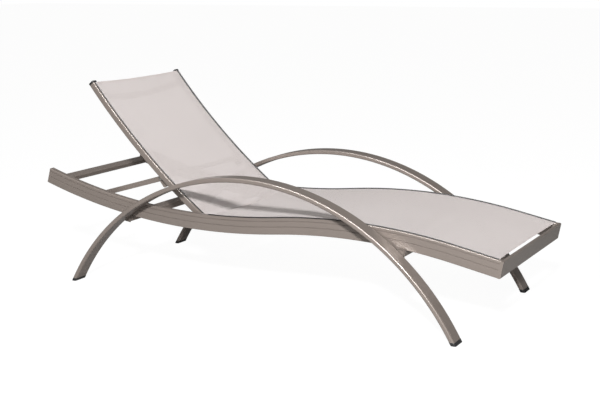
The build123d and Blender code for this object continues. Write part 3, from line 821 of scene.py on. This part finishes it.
SLINGS = (
    Sling("seat", "frame", seat_point, start=0.812 - DATUM, end=1.983 - DATUM, tuck=0.015,
          inner=RAIL_INNER_Y, width=RAIL_WIDTH, top=RAIL_HEIGHT / 2, sag=0.0142),
    Sling("back", "backrest", back_point, start=-0.005, end=BACK_LENGTH, tuck=0.0,
          inner=BACK_INNER_Y, width=BACK_RAIL_SIDE, top=BACK_RAIL_SIDE / 2, sag=0.0098),
)


def build_sling(sling, finish):
    """A stretched cloth with folded hems, and the sleeves along its edges round the cords."""
    name = f"{sling.name}_cloth"
    gap = finish.thickness + FOLD_GAP
    stations = folded_stations(sling.start, sling.end, finish.hem, gap, CLOTH_STEP)
    section = sling.section()

    def place(column, row):
        y, rise, _ = section[column]
        station, drop, _ = stations[row]
        return sling.on_cloth(station, y, rise + drop, finish)

    def size(column, row):
        return section[column][2], stations[row][2]

    bm = mapped_grid(len(section) - 1, len(stations) - 1, place, size)
    piece = place_piece(name, bm, sling.body, bpy.data.materials[f"{name} weave"], math.pi)
    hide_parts(f"{sling.name}_sling")

    around = 14
    run = evenly(sling.start, sling.end, 60)
    for side, sign in SIDES:
        def wrap(column, row):
            angle = 2 * math.pi * column / around
            y = sling.bead[0] + BEAD_RADIUS * math.cos(angle)
            return sling.point(run[row], sign * y, sling.bead[1] + BEAD_RADIUS * math.sin(angle))

        def wrapped_size(column, row):
            return 2 * math.pi * BEAD_RADIUS * column / around, run[row] - run[0]

        bm = mapped_grid(around, len(run) - 1, wrap, wrapped_size)
        bmesh.ops.remove_doubles(bm, verts=bm.verts, dist=1e-6)
        woven = bpy.data.materials["woven sling"]
        sleeve = place_piece(f"{name}_sleeve_{side}", bm, sling.body, woven, math.pi)
        modifier(sleeve, "SOLIDIFY", thickness=SLEEVE_WALL, offset=0.0)
    width = section[-1][2] + 4 * math.pi * BEAD_RADIUS


class LOUNGER_OT_slings(bpy.types.Operator):
    """Builds the seat's and the back's woven slings"""

    bl_idname = "lounger.slings"
    bl_label = "Slings"

    def execute(self, context):
        finish = context.scene.lounger_sling
        woven_cloth(finish, "seat_cloth weave", finish.open_seat)
        woven_cloth(finish, "back_cloth weave", finish.open_back)
        for sling in SLINGS:
            build_sling(sling, finish)
        return {"FINISHED"}


class LOUNGER_OT_shade_strips(bpy.types.Operator):
    """Lays black strips in the rails' grooves beside the slings: a dark thing put where the grooves' shade
    falls, to give the dark line there
    """

    bl_idname = "lounger.splines"
    bl_label = "Groove Splines"

    width: bpy.props.FloatProperty(
        name="Width", description="Width of a shade_strip", default=0.0044, unit="LENGTH")
    height: bpy.props.FloatProperty(
        name="Height", description="Height of a shade_strip", default=0.0064, unit="LENGTH")
    proud: bpy.props.FloatProperty(
        name="Proud", description="How far a shade_strip stands above its rail's lip",
        default=0.0032, unit="LENGTH")

    def execute(self, context):
        # Black plastic strips standing proud of the lips make the dark line beside each sling: painted shade of
        # the grooves.
        black = bpy.data.materials["black plastic"]
        shape = Matrix.Diagonal((1, self.width, self.height, 1)) @ Matrix.Rotation(math.pi / 2, 4, "Y")
        for sling in SLINGS:
            along = evenly(sling.start, sling.end, 72)
            across = sling.outer - (LIP_WIDTH + GROOVE_SET - THROAT_WIDTH) / 2
            middle = sling.top + self.proud - self.height / 2
            for side, sign in SIDES:
                bm = bmesh.new()
                bmesh.ops.create_circle(bm, cap_ends=True, segments=16, radius=0.5)
                bmesh.ops.transform(bm, matrix=shape, verts=bm.verts)
                sweep_section(bm, along, lambda x, y, z: sling.point(x, sign * (across + y), middle + z))
                place_piece(f"{sling.name}_spline_{side}", bm, sling.body, black)
        return {"FINISHED"}


class LOUNGER_OT_stitches(bpy.types.Operator):
    """Sews the hems with two rows of stitches"""

    bl_idname = "lounger.stitches"
    bl_label = "Hem Stitches"

    def execute(self, context):
        finish = context.scene.lounger_sling
        thread = thread_cloth(finish)
        for sling in SLINGS:
            bm = bmesh.new()
            for edge, inward in ((sling.start, 1), (sling.end, -1)):
                for row in STITCH_ROWS:
                    self.sew(bm, sling, edge + inward * (finish.hem - row), finish)
            place_piece(f"{sling.name}_stitches", bm, sling.body, thread, math.pi)
        return {"FINISHED"}

    def sew(self, bm, sling, station, finish):
        """One row of stitches across the cloth, on its top face."""
        count = int(2 * sling.inner / finish.stitch)
        half_length = finish.stitch * STITCH_LENGTH_SHARE
        size = Matrix.Diagonal((STITCH_HALF_WIDTH, half_length, STITCH_HALF_HEIGHT, 1))
        for index in range(count):
            y = (index - (count - 1) / 2) * finish.stitch
            centre = sling.on_cloth(station, y, sling.rise(y) + STITCH_LIFT, finish)
            place = Matrix.Translation(centre) @ size
            bmesh.ops.create_icosphere(bm, subdivisions=1, radius=1.0, matrix=place)


def weld_collar(bm, centre, turn, width, height, side, face_y, leg):
    """A fillet weld round a bar's end, against a face square to Y."""
    before = set(bm.verts)
    made = bmesh.ops.create_grid(bm, x_segments=1, y_segments=1, size=0.5)["verts"]
    lay = Matrix.Rotation(math.pi / 2, 4, "X")
    scale = Matrix.Diagonal((width + 2 * leg, height + 2 * leg, 1, 1))
    bmesh.ops.transform(bm, matrix=lay @ scale, verts=made)
    round_off(bm, made, leg * WELD_CORNER_SHARE, 4, "VERTICES")
    new = [vert for vert in bm.verts if vert not in before]
    face = new[0].link_faces[0]
    grown = bmesh.ops.extrude_face_region(bm, geom=[face])["geom"]
    top = [item for item in grown if isinstance(item, bmesh.types.BMVert)]
    shrink = Matrix.Diagonal((width / (width + 2 * leg), 1, height / (height + 2 * leg), 1))
    bmesh.ops.transform(bm, matrix=Matrix.Translation((0, -side * leg, 0)) @ shrink, verts=top)
    new = [vert for vert in bm.verts if vert not in before]
    place = Matrix.Translation((centre.x, side * face_y, centre.z)) @ turn.to_4x4()
    bmesh.ops.transform(bm, matrix=place, verts=new)


class LOUNGER_OT_welds(bpy.types.Operator):
    """Runs fillet welds round the ends of the cross bars"""

    bl_idname = "lounger.welds"
    bl_label = "Welds"

    def execute(self, context):
        finish = context.scene.lounger_frame
        bead = weld_metal(finish)
        leg = finish.weld
        sharp = math.radians(50)
        bow_face = BOW_MID_Y - finish.bow_width / 2
        bm = bmesh.new()
        for x, rise, width, height in SEAT_BARS:
            centre = seat_point(x, 0, rise)
            for _, side in SIDES:
                weld_collar(bm, centre, seat_turn(x), width, height, side, RAIL_INNER_Y, leg)
        for x in STRETCHERS_X:
            centre = seat_point(x, 0, STRETCHER_RISE)
            for _, side in SIDES:
                weld_collar(bm, centre, seat_turn(x), STRETCHER_WIDTH, STRETCHER_HEIGHT, side, bow_face, leg)
        place_piece("frame_welds", bm, "frame", bead, sharp)
        bm = bmesh.new()
        for station in BACK_BARS:
            centre = back_point(station, 0, BACK_BAR_RISE)
            turn = back_turn(station)
            for _, side in SIDES:
                weld_collar(bm, centre, turn, BACK_BAR_WIDTH, BACK_BAR_HEIGHT, side, BACK_INNER_Y, leg)
        place_piece("back_welds", bm, "backrest", bead, sharp)
        return {"FINISHED"}


def button_head(bm, centre, axis, radius, height, socket):
    """A domed button head with a hexagon socket, its seat at centre and its top along axis."""
    before = set(bm.verts)
    floor = height - height * SOCKET_SHARE
    profile = [(0.0, floor), (socket, floor), (socket, height)]
    for share in (0.25, 0.5, 0.75, 1.0):
        angle = share * math.pi / 2
        run = socket + (radius - socket) * math.sin(angle)
        profile.append((run, height * (RIM_SHARE + (1 - RIM_SHARE) * math.cos(angle))))
    profile.append((radius, 0.0))
    chain = [bm.verts.new((x, 0, z)) for x, z in profile]
    edges = [bm.edges.new(pair) for pair in zip(chain, chain[1:])]
    bmesh.ops.spin(bm, geom=[*chain, *edges], cent=(0, 0, 0), axis=(0, 0, 1), dvec=(0, 0, 0),
                   angle=2 * math.pi, steps=24, use_merge=True, use_normal_flip=False, use_duplicate=False)
    new = [vert for vert in bm.verts if vert not in before]
    for vert in new:
        reach = math.hypot(vert.co.x, vert.co.y)
        if abs(reach - socket) < 1e-6:
            turn = math.atan2(vert.co.y, vert.co.x) % (math.pi / 3) - math.pi / 6
            flat = math.cos(math.pi / 6) / math.cos(turn)
            vert.co.x *= flat
            vert.co.y *= flat
    bmesh.ops.remove_doubles(bm, verts=new, dist=1e-6)
    new = [vert for vert in bm.verts if vert not in before]
    place = Matrix.Translation(centre) @ Vector(axis).to_track_quat("Z", "Y").to_matrix().to_4x4()
    bmesh.ops.transform(bm, matrix=place, verts=new)


class LOUNGER_OT_heads(bpy.types.Operator):
    """Adds domed heads to the bolts and pins"""

    bl_idname = "lounger.heads"
    bl_label = "Bolt Heads"

    def execute(self, context):
        steel = bpy.data.materials["stainless steel"]
        bm = bmesh.new()
        under = STRETCHER_RISE - STRETCHER_HEIGHT / 2 - STRETCHER_GAP
        for x in STRETCHERS_X:
            slope = seat_line(x)[1]
            down = Vector((math.sin(slope), 0, -math.cos(slope)))
            for _, side in SIDES:
                centre = seat_point(x, side * (RAIL_INNER_Y + RAIL_WIDTH / 2), under)
                button_head(bm, centre, down, *STRETCHER_HEAD)
        place_piece("stretcher_bolt_heads", bm, "frame", steel)
        bm = bmesh.new()
        for _, side in SIDES:
            centre = Vector((PIVOT.x, side * PIVOT_HEAD_Y, PIVOT.z))
            button_head(bm, centre, (0, -side, 0), *PIVOT_HEAD)
        place_piece("pivot_bolt_heads", bm, "frame", steel)
        bm = bmesh.new()
        low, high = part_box("prop_pins")
        middle = (low + high) / 2
        for _, side in SIDES:
            centre = Vector((middle.x, side * PIN_HEAD_Y, middle.z))
            button_head(bm, centre, (0, -side, 0), *PIN_HEAD)
        place_piece("prop_pin_heads", bm, "backrest", steel)
        return {"FINISHED"}


def area_lamp(name, power, size, place, target):
    """A soft box of a size (across, up) aimed at a point."""
    lamp = bpy.data.lights.new(name, "AREA")
    lamp.energy = power
    lamp.shape = "RECTANGLE"
    lamp.size, lamp.size_y = size
    holder = bpy.data.objects.new(name, lamp)
    bpy.context.scene.collection.objects.link(holder)
    holder.location = place
    holder.rotation_euler = (Vector(target) - Vector(place)).to_track_quat("-Z", "Y").to_euler()
    return holder


class LOUNGER_OT_stage(bpy.types.Operator):
    """Sets the floor, the light and the camera"""

    bl_idname = "lounger.stage"
    bl_label = "Stage"

    def execute(self, context):
        scene = context.scene
        finish = scene.lounger_stage
        scene.view_settings.view_transform = "Standard"
        self.world(scene, finish)
        self.floor(scene)
        place = KEY_TARGET + KEY_DISTANCE * KEY_DIRECTION
        area_lamp("key lamp", finish.key, size=(0.42, 0.42), place=place, target=KEY_TARGET)
        area_lamp("top lamp", finish.top, size=(1.7, 1.7), place=(-0.7, -0.7, 2.7), target=(0.0, 0.0, 0.3))
        strip = area_lamp("strip lamp", finish.strip, size=(2.7, 0.4), place=(0.55, -1.3, 2.6),
                          target=(0.55, -0.3, 0.35))
        strip.visible_diffuse = False
        self.camera(scene)
        return {"FINISHED"}

    def world(self, scene, finish):
        """White to look at, and for the object a fill that is brighter from above and from the near side."""
        world = bpy.data.worlds.new("studio")
        scene.world = world
        world.use_nodes = True
        nodes = Nodes(world.node_tree)
        where = nodes.add("ShaderNodeTexCoord", output="Generated")
        across = nodes.add("ShaderNodeSeparateXYZ", None, {0: where}, "Y")
        up = nodes.add("ShaderNodeSeparateXYZ", None, {0: where}, "Z")
        lean = up * FILL_FROM_ABOVE - across * FILL_FROM_NEAR + FILL_ALL_ROUND
        strength = lean.math("MAXIMUM", FILL_LEAST) * finish.fill
        fill = nodes.add("ShaderNodeBackground", None, {"Color": (1.0, 0.98, 0.955), "Strength": strength})
        white = nodes.add("ShaderNodeBackground", None, {"Color": (1.0, 1.0, 1.0), "Strength": 1.0})
        seen = nodes.add("ShaderNodeLightPath", output="Is Camera Ray")
        mix = nodes.add("ShaderNodeMixShader", None, {0: seen, 1: fill, 2: white})
        nodes.put(world.node_tree.nodes["World Output"].inputs["Surface"], mix)

    def floor(self, scene):
        """A white floor that keeps a faint shadow."""
        bm = bmesh.new()
        bmesh.ops.create_grid(bm, x_segments=1, y_segments=1, size=FLOOR_HALF)
        mesh = bpy.data.meshes.new("studio_floor")
        bm.to_mesh(mesh)
        bm.free()
        floor = bpy.data.objects.new("studio_floor", mesh)
        scene.collection.objects.link(floor)
        paint = Paint("studio floor", {"Base Color": (0.36, 0.355, 0.35), "Roughness": 0.9})
        faint = paint.add("ShaderNodeBsdfDiffuse", None, {"Color": (0.1, 0.1, 0.1)})
        glow = paint.add("ShaderNodeEmission", None, {"Strength": 0.95})
        both = paint.add("ShaderNodeAddShader", None, {0: faint, 1: glow})
        plain = Value(paint, paint.shader.outputs[0])
        seen = paint.add("ShaderNodeLightPath", output="Is Camera Ray")
        mix = paint.add("ShaderNodeMixShader", None, {0: seen, 1: plain, 2: both})
        paint.put(paint.tree.nodes["Material Output"].inputs["Surface"], mix)
        mesh.materials.append(paint.material)

    def camera(self, scene):
        """The photograph's viewpoint."""
        yaw, pitch, roll = (math.radians(angle) for angle in VIEW_ANGLES)
        flat = math.cos(pitch)
        ahead = Vector((-math.sin(yaw) * flat, math.cos(yaw) * flat, -math.sin(pitch)))
        level = Vector((math.cos(yaw), math.sin(yaw), 0.0))
        above = level.cross(ahead)
        right = math.cos(roll) * level + math.sin(roll) * above
        up = math.cos(roll) * above - math.sin(roll) * level
        data = bpy.data.cameras.new("studio camera")
        data.sensor_width = SENSOR_WIDTH
        data.lens = SENSOR_WIDTH * VIEW_FOCAL / VIEW_WIDTH
        data.clip_end = 100.0
        camera = bpy.data.objects.new("studio camera", data)
        scene.collection.objects.link(camera)
        turn = Matrix((right, up, -ahead)).transposed().to_4x4()
        camera.matrix_world = Matrix.Translation(VIEW_PLACE) @ turn
        scene.camera = camera


class LOUNGER_PT_panel(bpy.types.Panel):
    """Lists the lounger's settings and steps"""

    bl_label = "Lounger"
    bl_idname = "LOUNGER_PT_panel"
    bl_space_type = "VIEW_3D"
    bl_region_type = "UI"
    bl_category = "Lounger"

    def draw(self, context):
        for key, kind in GROUPS.items():
            box = self.layout.box()
            for name in kind.__annotations__:
                box.prop(getattr(context.scene, key), name)
        for step in STEPS:
            self.layout.operator(step.bl_idname)


GROUPS = {"lounger_frame": FrameFinish, "lounger_sling": SlingFinish, "lounger_stage": StageFinish}
STEPS = (LOUNGER_OT_paint, LOUNGER_OT_rails, LOUNGER_OT_caps, LOUNGER_OT_bows, LOUNGER_OT_shoes,
         LOUNGER_OT_slings, LOUNGER_OT_shade_strips, LOUNGER_OT_stitches, LOUNGER_OT_welds, LOUNGER_OT_heads,
         LOUNGER_OT_stage)


def register():
    for name, group in GROUPS.items():
        bpy.utils.register_class(group)
        setattr(bpy.types.Scene, name, bpy.props.PointerProperty(type=group))
    for step in (*STEPS, LOUNGER_PT_panel):
        bpy.utils.register_class(step)


def unregister():
    for step in (LOUNGER_PT_panel, *reversed(STEPS)):
        bpy.utils.unregister_class(step)
    for name, group in GROUPS.items():
        delattr(bpy.types.Scene, name)
        bpy.utils.unregister_class(group)


def main():
    """Builds every piece in order."""
    register()
    for step in STEPS:
        family, verb = step.bl_idname.split(".")
        getattr(getattr(bpy.ops, family), verb)()


if __name__ == "__main__":
    main()
